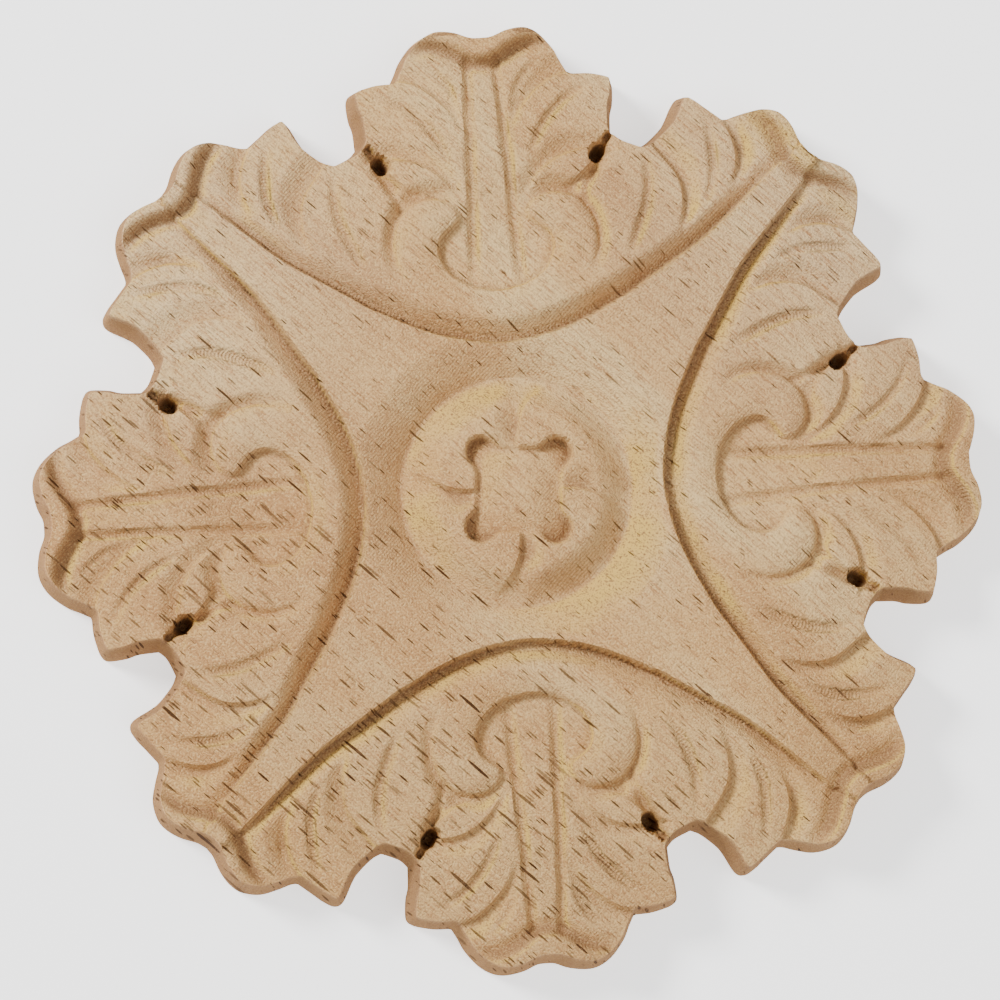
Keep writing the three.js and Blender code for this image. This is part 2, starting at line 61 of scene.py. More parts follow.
LEAF_END = [(0, 73.6), (1.4, 73.7), (3.7, 74.6), (6.6, 75), (8.7, 74.5), (10.7, 73.1), (12.6, 70.7),
            (13.5, 68.8), (14.4, 67.1)]
LEAF_BARB = [(14.4, 67.1), (17, 67), (19.3, 66.5), (20.6, 66), (21.4, 65), (21.2, 62), (20.7, 60.2),
             (20.5, 57)]
NOTCH = [(20.5, 57), (21.7, 55.8), (24.4, 54.6)]
ARM_LEAF_END = [(0, 73.1), (1.6, 73.4), (4.1, 74.5), (6.5, 75), (8.7, 74.7), (11.1, 73.1),
                (12.7, 70.7), (13.7, 68.8), (14.4, 68)]
ARM_LEAF_BARB = [(14.4, 68), (17.3, 67.7), (19.3, 67.5), (21.2, 66.9), (21.7, 65.5), (20.8, 62.4),
                 (20.5, 60.7), (20.7, 57.6), (21.3, 55.9)]


def from_arm_leaf(points):
    """Arm leaves lie on the diagonals, an eighth of a turn from the leaves with a collar."""
    half = math.sqrt(0.5)
    return [((out - across) * half, (out + across) * half) for across, out in points]


def curve_through(points, step=1.0):
    """A smooth line through plan points, as evenly spaced points."""
    knots = np.array(points, float)
    ends = np.vstack([2 * knots[0] - knots[1], knots, 2 * knots[-1] - knots[-2]])
    share = np.linspace(0, 1, KNOT_SAMPLES, endpoint=False)[:, None]
    pieces = []
    for a, b, c, d in zip(ends, ends[1:], ends[2:], ends[3:]):
        bend = 2 * a - 5 * b + 4 * c - d
        turn = 3 * b - a - 3 * c + d
        pieces.append((2 * b + (c - a) * share + bend * share ** 2 + turn * share ** 3) / 2)
    line = np.vstack(pieces + [knots[-1:]])
    lengths = np.concatenate([[0], np.cumsum(np.hypot(*np.diff(line, axis=0).T))])
    places = np.linspace(0, lengths[-1], max(2, round(lengths[-1] / step)) + 1)
    return np.stack([np.interp(places, lengths, line[:, k]) for k in (0, 1)], 1) * PLAN


def nearest(line, x, y):
    """Distance to a line, positive on the left of its travel, and the share of its length there."""
    best = np.full(x.shape, np.inf)
    side = np.ones(x.shape)
    place = np.zeros(x.shape)
    for i, (start, run) in enumerate(zip(line, np.diff(line, axis=0))):
        px, py = x - start[0], y - start[1]
        along = np.clip((px * run[0] + py * run[1]) / (run @ run), 0, 1)
        square = (px - along * run[0]) ** 2 + (py - along * run[1]) ** 2
        closer = square < best
        best[closer] = square[closer]
        side[closer] = np.where(run[0] * py < run[1] * px, -1, 1)[closer]
        place[closer] = (i + along)[closer]
    return np.sqrt(best) * side, place / (len(line) - 1)


def between(stops, place):
    return np.interp(place, np.linspace(0, 1, len(stops)), stops)


def smooth(start, end, value):
    share = np.clip((value - start) / (end - start), 0, 1)
    return share * share * (3 - 2 * share)


outline_pieces = [LEAF_END, LEAF_BARB, NOTCH, from_arm_leaf(ARM_LEAF_BARB)[::-1],
                  from_arm_leaf(ARM_LEAF_END)[::-1]]
eighth = np.vstack([curve_through(piece, OUTLINE_STEP)[:-1] for piece in outline_pieces]
                   + [np.array(from_arm_leaf(ARM_LEAF_END)[:1]) * PLAN])
OVERLAP = 8  # points of the next eighths that the outline runs on into
outline = np.vstack([eighth[OVERLAP:0:-1] * [-1, 1], eighth, eighth[-2:-2 - OVERLAP:-1, ::-1]])

# Levels of the carved face above the back, and how far its parts fall away, in millimetres.
BUTTON_LEVEL, FIELD_LEVEL, LEAF_LEVEL, MOAT_LEVEL = 13.9, 12.9, 12.6, 9.4
LEAF_FALL, LEAF_FALL_START = 3.6, 34
FIELD_FALL, FIELD_FALL_START, FIELD_FALL_END = 2.3, 45, 70
BUTTON_FALL, BUTTON_RADIUS, BUTTON_SHOULDER = 4.3, 18.3, 12.5
BUTTON_BULGE = 0.3
BUTTON_OFFSET = 0.5
DISH_RADIUS, DISH_RIM, DISH_POWER = 31.2, 13.3, 2.6
STEP_FACE = 0.65
CARVING_SCALE = 0.983

# A step is a crisp edge: its line, the side that drops (1 is left of travel), how deep it drops,
# the share of that depth along the line, and how far off the line the surface is back up.
COLLAR_DEPTH, COLLAR_ROUND, COLLAR_ROUND_REACH, COLLAR_ROUND_END = 2.1, 0.5, 3.0, 0.75
COLLAR_SHARE = [1, 1, 1, 1, 1, 1, 1, 1, 0.9, 0.85, 0.8, 0.65, 0.4, 0]
COLLAR_REACH = [8, 8, 8, 8, 7, 5, 4, 4, 4, 3.6, 3, 2.6, 2.6, 2.6]
WELL_END, WELL_BLEND = (40, 56), (0.54, 0.64)
COLLAR = [(-4.5, 33), (0, 32), (4.7, 33), (7.9, 35.2), (9.4, 38), (9.5, 40), (8.7, 41.8), (7.2, 43),
          (5.9, 44.2), (6.3, 45.7), (7.8, 46.8), (9.7, 47.3), (12.3, 46.8), (14.3, 45.3), (15.5, 43),
          (16, 40), (15.4, 37), (14.1, 34.9)]
STEPS = [
    ([(15.5, 67.2), (14.2, 67), (12, 66.7), (10, 65.6), (7.6, 63.5), (5.7, 61), (4.6, 58)],
     -1, 1.3, [1, 1, 1, 0.9, 0.8, 0.5, 0], [4.5, 4.5, 4.5, 4, 3, 2]),
    ([(17.4, 53.9), (14.2, 53.9), (11.2, 53), (8.6, 51.2), (6.6, 48.9), (5.2, 46.4)],
     -1, 1.2, [1, 1, 1, 0.8, 0.6, 0], [4, 4, 4, 3.5, 3, 2]),
    ([(16.9, 52.8), (14.6, 50.6), (12.8, 49.5), (10.8, 48.9)], 1, 1.2, [1, 1, 0.8, 0], [3, 3, 3, 2]),
    (from_arm_leaf([(15.6, 67.9), (14.3, 67.7), (12, 67), (9.2, 65.3), (7.2, 62.8), (6.2, 59.6)]),
     1, 1.3, [1, 1, 1, 0.9, 0.6, 0], [4.5, 4.5, 4.5, 4, 3, 2]),
    (from_arm_leaf([(21.5, 56.9), (20.2, 56.8), (17, 56.4), (13.6, 55.7), (11, 54), (9, 51.5),
                    (7.6, 48.5)]),
     1, 1.6, [1, 1, 1, 0.95, 0.8, 0.5, 0], [5.5, 5.5, 5.5, 5, 4, 3, 2]),
]

# A groove is a round-bottomed cut: its line, depth, share of the depth along it and half width.
GROOVES = [
    ([(2.3, 70), (2.5, 65), (2.8, 58), (3.1, 50), (3.5, 40), (3.9, 33)], 0.9,
     [0.9, 1.2, 1, 1, 0.9, 0.2], [0.9, 0.95, 1, 1]),
    ([(9.4, 70), (7, 67.8), (5.3, 65.3), (4.4, 62.5)], 0.5, [0, 1, 1, 0], [0.7, 0.8, 0.6]),
    ([(17.2, 65.3), (12.4, 62.5), (9.2, 59), (7.4, 55.7), (6.4, 52.5)], 0.65,
     [0, 0.9, 1, 0.7, 0], [0.7, 0.85, 0.85, 0.6]),
    (from_arm_leaf([(12.4, 69), (8.8, 66.6), (6.4, 63.6)]), 0.5, [0, 1, 0], [0.7, 0.8, 0.6]),
    (from_arm_leaf([(16.5, 66.6), (12.4, 63.4), (9.7, 60.7), (8, 57.7), (7, 54.5)]), 0.65,
     [0, 0.9, 1, 0.8, 0], [0.7, 0.9, 0.95, 0.6]),
    (from_arm_leaf([(20, 55.1), (16.8, 52.6), (14.2, 49.2), (12.4, 45), (10.8, 40.8)]), 0.8,
     [0, 0.9, 1, 0.9, 0], [0.7, 0.95, 1.05, 1, 0.7]),
    ([(17.6, 53), (16.4, 50), (15.2, 47.2), (14.7, 45.3)], 1.2, [1, 0.9, 0.7, 0.2],
     [1.1, 1, 0.85, 0.6]),
]

# A lip is the curled end of a leaf, climbing outwards from its foot line.
LIP_RISE, LIP_FACE = 2.3, 2.1
LIP_FOOT_DEPTH, LIP_FOOT_HALF = 0.6, 1.4
LIP_SHARE = [1, 1, 1, 1, 1, 0.85, 0.45, 0]
LEAF_LIP = [(-1.6, 69.1), (0, 68.9), (1.6, 69.1), (3.3, 69.9), (5.3, 71.2), (7.8, 72.2), (10.3, 72),
            (12.3, 71.1)]
ARM_LEAF_LIP = from_arm_leaf([(-1.6, 69.1), (0, 68.9), (1.6, 69.1), (3.3, 69.8), (5.4, 71.1), (8, 72.1),
                              (10.6, 72), (12.6, 71.2)])

# The field's crisp rim stands over a cove that follows it out to the leaf ends.
FIELD_EDGE = [(-10, 25.3), (0, 23.6), (10, 25.3), (19.8, 29.7), (24.2, 32.4), (28.5, 35.1),
              (32.9, 37.9), (37.2, 41.3), (44.4, 47.8), (47.5, 50.4)]
COVE_DEPTH = 2.7
COVE_SHARE = [0.95, 0.95, 0.95, 1, 1, 0.9, 0.8, 0.7, 0.5, 0.1]
COVE_REACH = [4.6, 4.6, 4.6, 4.6, 4.6, 4.4, 4, 3.6, 3.2, 2.8]

# The button's four petals overlap along swept lines, around a recess with four lobes.
PETAL = [(0.6, 5), (0.6, 7.6), (0.8, 9.8), (1.6, 12), (3, 14.2), (5.2, 16.4)]
PETAL_STEP, PETAL_REACH = 1.2, 5.0
PETAL_SHARE = [0, 0.9, 1, 0.9, 0.6, 0]
swept = curve_through(PETAL)
PETAL_LINES = [swept, swept[:, ::-1] * [1, -1], -swept, swept[:, ::-1] * [-1, 1]]
RECESS_HALF, LOBE_CENTRE, LOBE_RADIUS, RECESS_FACE, RECESS_BLEND = 7.1, 6.0, 2.7, 0.8, 1.4
RECESS_DEPTH, RECESS_FALL, RECESS_TURN = 0.3, 0.028, math.radians(-4.4)

# An eye is a drilled pit beside each collared leaf, open towards the notch.
EYE = [(17.3, 53.5), (19.4, 56.3)]
EYE_FLOORS, EYE_RADII, EYE_SLOPE = (4, 4, 8.5, 8.5), (0.7, 0.7, 0.5, 0.5), 10


def step_drop(distance, reach):
    drop = smooth(0, STEP_FACE * PLAN, distance) * (1 - smooth(STEP_FACE * PLAN, reach * PLAN, distance))
    return np.where(distance > 0, drop, 0)


def lip_rise(outwards, share):
    foot = LIP_FOOT_DEPTH * np.maximum(0, 1 - (outwards / LIP_FOOT_HALF) ** 2)
    return share * (LIP_RISE * smooth(0, LIP_FACE * PLAN, outwards) - foot)


def leaf_height(u, v, radius):
    fall = np.maximum(0, radius / PLAN - LEAF_FALL_START) / (DRAWN_RADIUS - LEAF_FALL_START)
    height = LEAF_LEVEL - LEAF_FALL * fall ** 2
    distance, place = nearest(curve_through(COLLAR), u, v)
    in_well = 1 - smooth(*WELL_BLEND, place)
    well = smooth(0, STEP_FACE * PLAN, distance) * (1 - smooth(*WELL_END, v / PLAN))
    around = step_drop(distance, between(COLLAR_REACH, place))
    height -= COLLAR_DEPTH * between(COLLAR_SHARE, place) * (around + (well - around) * in_well)
    shoulder = np.clip(1 + distance / COLLAR_ROUND_REACH / PLAN, 0, 1) ** 2
    height -= COLLAR_ROUND * np.where(distance < 0, shoulder, 1 - smooth(0, STEP_FACE, distance)) * (
        1 - smooth(COLLAR_ROUND_END, 1, place))
    for points, side, depth, shares, reach in STEPS:
        distance, place = nearest(curve_through(points), u, v)
        height -= depth * between(shares, place) * step_drop(distance * side, between(reach, place))
    for points, depth, shares, widths in GROOVES:
        distance, place = nearest(curve_through(points), u, v)
        share = distance / (between(widths, place) * PLAN)
        height -= depth * between(shares, place) * np.maximum(0, 1 - share ** 2)
    for points, side in ((LEAF_LIP, 1), (ARM_LEAF_LIP, -1)):
        distance, place = nearest(curve_through(points), u, v)
        height += lip_rise(distance * side, between(LIP_SHARE, place))
    return height


def button_height(x, y, radius):
    drawn = radius / PLAN
    edge = smooth(BUTTON_SHOULDER, BUTTON_RADIUS, drawn)
    crown = BUTTON_BULGE * (drawn / BUTTON_RADIUS) ** 2 + (1 - BUTTON_BULGE) * edge
    height = BUTTON_LEVEL - BUTTON_FALL * crown
    for line in PETAL_LINES:
        distance, place = nearest(line, x, y)
        height -= PETAL_STEP * between(PETAL_SHARE, place) * step_drop(distance, PETAL_REACH)
    cos, sin = math.cos(RECESS_TURN), math.sin(RECESS_TURN)
    across, up = np.abs(x * cos + y * sin) / PLAN, np.abs(y * cos - x * sin) / PLAN
    square = np.maximum(across, up) - RECESS_HALF
    lobe = np.hypot(across - LOBE_CENTRE, up - LOBE_CENTRE) - LOBE_RADIUS
    blend = np.maximum(0, RECESS_BLEND - np.abs(square - lobe))
    inside = 1 - smooth(-RECESS_FACE, 0, np.minimum(square, lobe) - blend ** 2 / (4 * RECESS_BLEND))
    floor = BUTTON_LEVEL - RECESS_DEPTH - RECESS_FALL * drawn ** 2
    return height + (np.minimum(height, floor) - height) * inside


def fold(x, y):
    """The same place in the eighth that the plan is drawn in."""
    return np.minimum(np.abs(x), np.abs(y)), np.maximum(np.abs(x), np.abs(y))


def carved_height(x, y):
    """Height of the face before its side walls are cut."""
    x, y = x / CARVING_SCALE, y / CARVING_SCALE
    radius = np.hypot(x, y)
    u, v = fold(x, y)
    fall = ((u + v) * math.sqrt(0.5) / PLAN - FIELD_FALL_START) / (FIELD_FALL_END - FIELD_FALL_START)
    field = FIELD_LEVEL - FIELD_FALL * np.clip(fall, 0, 1) ** 2
    distance, place = nearest(curve_through(FIELD_EDGE), u, v)
    cove = COVE_DEPTH * between(COVE_SHARE, place) * step_drop(distance, between(COVE_REACH, place))
    leaf_share = smooth(0, STEP_FACE * PLAN, distance)
    lip_distance, _ = nearest(curve_through(ARM_LEAF_LIP), u, v)
    arm = field + lip_rise(-lip_distance, 1)
    outer = field + (leaf_height(u, v, radius) - cove - field) * leaf_share
    height = np.where(distance > 0, outer, arm)
    share = np.clip((radius / PLAN - BUTTON_RADIUS) / (DISH_RADIUS - BUTTON_RADIUS), 0, 1)
    dish = MOAT_LEVEL + (DISH_RIM - MOAT_LEVEL) * (1 - (1 - share) ** DISH_POWER)
    height = np.where(share < 1, np.minimum(height, dish), height)
    from_button = np.hypot(x - BUTTON_OFFSET, y)
    button = np.maximum(button_height(x - BUTTON_OFFSET, y, from_button), MOAT_LEVEL)
    height = np.where(from_button < BUTTON_RADIUS * PLAN, button, height)
    distance, place = nearest(np.array(EYE) * PLAN, u, v)
    wall = np.maximum(0, np.abs(distance) - between(EYE_RADII, place) * PLAN)
    return np.minimum(height, between(EYE_FLOORS, place) + EYE_SLOPE * wall)


def foot(line, x, y, folded=True):
    """The nearest point of a line, which is drawn in one eighth and repeated if it is folded."""
    _, place = nearest(line, *(fold(x, y) if folded else (x, y)))
    index = place * (len(line) - 1)
    across, out = [np.interp(index, np.arange(len(line)), line[:, k]) for k in (0, 1)]
    if not folded:
        return across, out
    swap = np.abs(x) > np.abs(y)
    return np.copysign(np.where(swap, out, across), x), np.copysign(np.where(swap, across, out), y)


def drawn_to(line, x, y, offset=0.0, folded=True):
    """Points within half a cell of a line, or of its offset, are moved onto it, and which they are."""
    foot_x, foot_y = foot(line, x, y, folded)
    away_x, away_y = x - foot_x, y - foot_y
    distance = np.maximum(np.hypot(away_x, away_y), TINY)
    near = np.abs(distance - offset) < CELL / 2
    move = np.where(near, offset / distance - 1, 0)
    return x + away_x * move, y + away_y * move, near


# The face is a fine grid trimmed to the outline. Its rows are drawn onto the crisp edges and the
# rim, each point is lifted to the carving, and the edge is pulled down to the back and closed.
SHARP_ANGLE = math.radians(50)
mesh = bpy.data.meshes.new("rosette_carved")
bm = bmesh.new()
half_grid = math.ceil(DRAWN_RADIUS * PLAN / CELL) * CELL
cells_across = round(2 * half_grid / CELL)
bmesh.ops.create_grid(bm, x_segments=cells_across, y_segments=cells_across, size=half_grid)
x, y = np.array([vertex.co[:2] for vertex in bm.verts]).T
depth_in = -nearest(outline, *fold(x, y))[0]
outside = [vertex for vertex, depth in zip(bm.verts, depth_in) if depth < -CELL / 2]
bmesh.ops.delete(bm, geom=outside, context="VERTS")
bmesh.ops.delete(bm, geom=[vertex for vertex in bm.verts if not vertex.link_faces], context="VERTS")
x, y = np.array([vertex.co[:2] for vertex in bm.verts]).T
rim = np.array([vertex.is_boundary for vertex in bm.verts])
crisp = []
for points in [FIELD_EDGE, COLLAR] + [step[0] for step in STEPS]:
    x, y, near = drawn_to(curve_through(points) * CARVING_SCALE, x, y)
    crisp.append(near)
for line in PETAL_LINES:
    x, y, near = drawn_to((line + [BUTTON_OFFSET, 0]) * CARVING_SCALE, x, y, folded=False)
    crisp.append(near)
wall_top = (carved_height(x, y) - UPRIGHT_EDGE) * math.tan(WALL_DRAFT)
x, y, near = drawn_to(outline, x, y, wall_top)
crisp.append(near)
foot_x, foot_y = foot(outline, x, y)
x, y = np.where(rim, foot_x, x), np.where(rim, foot_y, y)
wall = np.maximum(0, -nearest(outline, *fold(x, y))[0]) / math.tan(WALL_DRAFT)
z = np.where(rim, UPRIGHT_EDGE, np.minimum(carved_height(x, y), UPRIGHT_EDGE + wall))
for vertex, place in zip(bm.verts, np.stack([x, y, z], 1)):
    vertex.co = place
for near in crisp:
    bm.verts.ensure_lookup_table()
    bmesh.ops.connect_verts(bm, verts=[bm.verts[i] for i in np.flatnonzero(near)])
rim_edges = [edge for edge in bm.edges if edge.is_boundary]
edge_band = bmesh.ops.extrude_edge_only(bm, edges=rim_edges)["geom"]
for vertex in (item for item in edge_band if isinstance(item, bmesh.types.BMVert)):
    vertex.co.z = 0
back_edges = [edge for edge in bm.edges if edge.is_boundary]
bmesh.ops.contextual_create(bm, geom=back_edges)
bmesh.ops.scale(bm, vec=Vector((MILLIMETRE, MILLIMETRE, MILLIMETRE)), verts=bm.verts)
bmesh.ops.recalc_face_normals(bm, faces=bm.faces)
for face in bm.faces:
    face.smooth = True
bm.to_mesh(mesh)
bm.free()
mesh.set_sharp_from_angle(angle=SHARP_ANGLE)
rosette = bpy.data.objects.new("carved_rosette", mesh)
bpy.context.scene.collection.objects.link(rosette)
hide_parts("rosette")
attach(rosette, "root")

# What the wood's look needs to know at each point of the face: how hollow the carving is there,
# how steep it is and which way, and how far along a cut the cutter had got.
SURVEY_STEP, SURVEY_HALF, HOLLOW_REACH, BLUR_CELLS = 0.5, 78, 1.3, 8
survey_line = np.arange(-SURVEY_HALF, SURVEY_HALF + SURVEY_STEP, SURVEY_STEP)
survey = carved_height(*np.meshgrid(survey_line, survey_line))
blur_places = np.arange(-BLUR_CELLS, BLUR_CELLS + 1) * SURVEY_STEP / HOLLOW_REACH
blur = np.exp(-blur_places ** 2)
blur /= blur.sum()
padded = np.pad(survey, BLUR_CELLS, mode="edge")
rows = sum(share * padded[:, i:i + len(survey)] for i, share in enumerate(blur))
blurred = sum(share * rows[i:i + len(survey)] for i, share in enumerate(blur))
slope_y, slope_x = np.gradient(survey, SURVEY_STEP)


def surveyed(table):
    """A surveyed value at each point of the face."""
    column = (x + SURVEY_HALF) / SURVEY_STEP
    row = (y + SURVEY_HALF) / SURVEY_STEP
    left, below = column.astype(int), row.astype(int)
    right_share, up_share = column - left, row - below
    lower = table[below, left] * (1 - right_share) + table[below, left + 1] * right_share
    upper = table[below + 1, left] * (1 - right_share) + table[below + 1, left + 1] * right_share
    return lower * (1 - up_share) + upper * up_share


# Each rippled cut: its line, how far to the left of the line it runs, how marked its ripples are,
# and the shares and half widths of them along it.
VEIN_RIPPLES = [0.45, 0.6, 0.8, 0.6, 1.0, 1.0]
RIPPLED = [(points, 0, most, shares, widths)
           for (points, _, shares, widths), most in zip(GROOVES, VEIN_RIPPLES)]
RIPPLED += [(LEAF_LIP, 0.7, 0.5, LIP_SHARE, [1.3]), (ARM_LEAF_LIP, -0.7, 0.5, LIP_SHARE, [1.3]),
            (FIELD_EDGE, 1.1, 0.6, COVE_SHARE, [0.9])]
RIPPLE_BEND, RIPPLE_FADE, RIPPLE_CORE = 0.6, 0.12, 1.5
ripple_place = np.zeros(x.shape)
ripple_share = np.zeros(x.shape)
for points, off_line, most, shares, widths in RIPPLED:
    line = curve_through(points)
    distance, place = nearest(line, *fold(x / CARVING_SCALE, y / CARVING_SCALE))
    away = distance - off_line
    share = np.clip(RIPPLE_CORE - RIPPLE_CORE * np.abs(away / between(widths, place)), 0, 1)
    share *= most * between(shares, place) * np.clip(np.minimum(place, 1 - place) / RIPPLE_FADE, 0, 1)
    length = np.hypot(*np.diff(line, axis=0).T).sum()
    ripple_place = np.where(share > ripple_share, place * length - RIPPLE_BEND * away ** 2, ripple_place)
    ripple_share = np.maximum(ripple_share, share)

# Painted shade lies in the four lobes of the button's recess, off its inner edge, and along the lips'
# walls.
LOBE_SHADE, LOBE_START, LOBE_END, LOBE_DEPTH = 0.55, (5.5, 9), (10, 12), (0.3, 1.0)
LIP_SHADE, LIP_SHADE_START, LIP_SHADE_END = 0.85, (-0.9, 0.4), (1.3, 2.3)
from_middle = np.hypot(x - BUTTON_OFFSET, y)
in_lobe = smooth(*LOBE_START, from_middle) * (1 - smooth(*LOBE_END, from_middle))
crown = BUTTON_LEVEL - BUTTON_FALL * BUTTON_BULGE * (from_middle / BUTTON_RADIUS) ** 2
in_lobe *= smooth(*LOBE_DEPTH, crown - z)
on_lip = np.zeros(x.shape)
for points, side in ((LEAF_LIP, 1), (ARM_LEAF_LIP, -1)):
    distance, place = nearest(curve_through(points), *fold(x / CARVING_SCALE, y / CARVING_SCALE))
    outwards = distance * side
    band = smooth(*LIP_SHADE_START, outwards) * (1 - smooth(*LIP_SHADE_END, outwards))
    on_lip = np.maximum(on_lip, band * between(LIP_SHARE, place))
# The hollow survey also carries the painted shade of the lobes and the lips, besides the carving's own
# hollowness.
surveys = {"hollow": surveyed(blurred) - z + LOBE_SHADE * in_lobe + LIP_SHADE * on_lip,
           "slope_x": surveyed(slope_x), "slope_y": surveyed(slope_y),
           "ripple_place": ripple_place, "ripple_share": ripple_share}
for name, values in surveys.items():
    attribute = mesh.attributes.new(name, "FLOAT", "POINT")
    attribute.data.foreach_set("value", np.pad(values, (0, len(mesh.vertices) - len(values))))

# Bare rubberwood, straight off the machine: pinkish tan with cream and brown drifts, dark vessel
# lines along the grain, fuzz where the cutter ran against it, painted as a highlight on the slopes facing
# the light, the cutter's fine ripples, and painted shade in the hollows, on the steep sides and on the
# slopes turned from the light.
GRAIN_TURN = math.radians(45.4)
wood = bpy.data.materials.new("rubberwood")
wood.use_nodes = True
tree = wood.node_tree
shader = tree.nodes["Principled BSDF"]


def node(kind, inputs=None, **settings):
    """A shader node with its settings; each input takes a value or another node's output."""
    made = tree.nodes.new(kind)
    for name, value in settings.items():
        setattr(made, name, value)
    for key, value in (inputs or {}).items():
        if isinstance(value, bpy.types.NodeSocket):
            tree.links.new(value, made.inputs[key])
        else:
            made.inputs[key].default_value = value
    return made


def calculate(operation, *values):
    return node("ShaderNodeMath", dict(enumerate(values)), operation=operation).outputs[0]


def ramp(value, start, end, low_value=0.0, high_value=1.0):
    inputs = {"Value": value, "From Min": start, "From Max": end, "To Min": low_value, "To Max": high_value}
    return node("ShaderNodeMapRange", inputs).outputs[0]


def surveyed_value(name):
    return node("ShaderNodeAttribute", attribute_name=name).outputs["Fac"]


def grain_texture(kind, along, across, deep, **inputs):
    """A texture stretched along the grain, with its feature sizes in millimetres."""
    scale = (1000 / along, 1000 / across, 1000 / deep)
    turned = node("ShaderNodeMapping", {"Vector": coordinates, "Rotation": (0, 0, GRAIN_TURN)})
    sized = node("ShaderNodeMapping", {"Vector": turned.outputs[0], "Scale": scale})
    made = node(kind, {"Vector": sized.outputs[0], "Scale": 1.0})
    for key, value in inputs.items():
        made.inputs[key].default_value = value
    return made


def stained(colour, other, share):
    mixer = node("ShaderNodeMix", {6: colour, 7: other, 0: share}, data_type="RGBA")
    return mixer.outputs[2]


# A range holds the two values that a ramp runs between, and the shares at its ends where these
# aren't 0 and 1. Colours are placed in metres from the middle, textures in millimetres.
# The dark dirt colour stands for real dirt and grain and also for painted shade; the side colour is painted
# shade; the fuzz colour is fuzz with a painted highlight.
BODY, CREAM, BROWN = (0.67, 0.4, 0.162, 1), (0.76, 0.52, 0.24, 1), (0.43, 0.21, 0.085, 1)
VESSEL, DIRT_AND_SHADE, FUZZ_AND_HIGHLIGHT = (0.06, 0.026, 0.012, 1), (0.26, 0.135, 0.065, 1), (0.68, 0.44, 0.12, 1)
SIDE_SHADE, PALE, OCHRE = (0.46, 0.26, 0.09, 1), (0.82, 0.63, 0.37, 1), (0.56, 0.325, 0.11, 1)
LEFT_SHARE, UP_SHARE = 0.85, 0.5
coordinates = node("ShaderNodeTexCoord").outputs["Object"]
axes = node("ShaderNodeSeparateXYZ", {0: coordinates}).outputs
hollow = surveyed_value("hollow")
# How much each slope faces the upper left, towards the window light.
to_left = calculate("SUBTRACT", calculate("MULTIPLY", surveyed_value("slope_x"), LEFT_SHARE),
                    calculate("MULTIPLY", surveyed_value("slope_y"), UP_SHARE))
across_grain = calculate("ADD", axes[0], axes[1])

# The board drifts from early wood at its lower left to plainer wood at its upper right.
EARLY_WOOD, EARLY_BROWN, LATE_BROWN = (-0.012, -0.045), 0.35, (0.035, 0.06, 0, 0.12)
DRIFT_SIZE, CREAM_DRIFT, BROWN_DRIFT = (55, 15, 15), (0.5, 0.64), (0.5, 0.34, 0, 0.6)
PALE_ASIDE, PALE_ABOVE, PALE_SHARE = (0.01, 0.05), (0, 0.035), 0.55
OCHRE_BELOW = (-0.015, -0.05, 0, 0.34)
FIBRE_SIZE, BROWN_FIBRES = (5, 0.3, 0.3), (0.46, 0.7, 0, 0.9)
early_wood = ramp(across_grain, *EARLY_WOOD)
drift = grain_texture("ShaderNodeTexNoise", *DRIFT_SIZE, Detail=3.0).outputs["Fac"]
colour = stained(BODY, CREAM, ramp(drift, *CREAM_DRIFT))
colour = stained(colour, BROWN, ramp(drift, *BROWN_DRIFT))
colour = stained(colour, BROWN, ramp(early_wood, 0, 1, 0, EARLY_BROWN))
colour = stained(colour, BROWN, ramp(across_grain, *LATE_BROWN))
from_upright = calculate("ABSOLUTE", axes[0])
upper_sides = calculate("MULTIPLY", ramp(from_upright, *PALE_ASIDE), ramp(axes[1], *PALE_ABOVE))
colour = stained(colour, PALE, calculate("MULTIPLY", upper_sides, PALE_SHARE))
colour = stained(colour, OCHRE, ramp(axes[1], *OCHRE_BELOW))
fibres = grain_texture("ShaderNodeTexNoise", *FIBRE_SIZE, Detail=2.0, Roughness=0.7).outputs["Fac"]
colour = stained(colour, BROWN, ramp(fibres, *BROWN_FIBRES))

# Speckle is the wood's fine tooth. Patches decide where the fuzz with its painted highlight, the painted
# shade of the steep sides and the cutter marks are strong.
SPECKLE_SCALE, PATCH_SCALE, CREAM_SPECKLE = 3200.0, 90.0, (0.48, 0.3, 0, 0.72)
speckle, patches = [
    node("ShaderNodeTexNoise", {"Vector": coordinates, "Scale": scale, "Detail": 2.0}).outputs["Fac"]
    for scale in (SPECKLE_SCALE, PATCH_SCALE)]
colour = stained(colour, CREAM, ramp(speckle, *CREAM_SPECKLE))

# Fuzz, painted as a highlight, stands on the slopes that face left towards the light, off the hollows and
# the crisp edges; real fuzz stands on one tip.
BARE_TIP, TIP_PATCHES = (0.094, 0.102), (0.4, 0.55)
LIT_SLOPE, FUZZ_AND_HIGHLIGHT_PATCHES = (0.06, 0.45), (0.38, 0.58, 0.2, 1)
OFF_HOLLOWS, OFF_EDGES = (0.55, 0.15, 0.1, 1), (-0.28, -0.08, 0.2, 1)
bare_tip = calculate("MULTIPLY", ramp(across_grain, *BARE_TIP), ramp(patches, *TIP_PATCHES))
off_both = calculate("MULTIPLY", ramp(hollow, *OFF_HOLLOWS), ramp(hollow, *OFF_EDGES))
# Painted highlight: the fuzz colour goes on the slopes that face the light.
on_lit_slopes = calculate("MULTIPLY", ramp(to_left, *LIT_SLOPE), off_both)
fuzz_and_highlight_share = calculate("MULTIPLY", calculate("MAXIMUM", on_lit_slopes, bare_tip), ramp(patches, *FUZZ_AND_HIGHLIGHT_PATCHES))
colour = stained(colour, FUZZ_AND_HIGHLIGHT, fuzz_and_highlight_share)
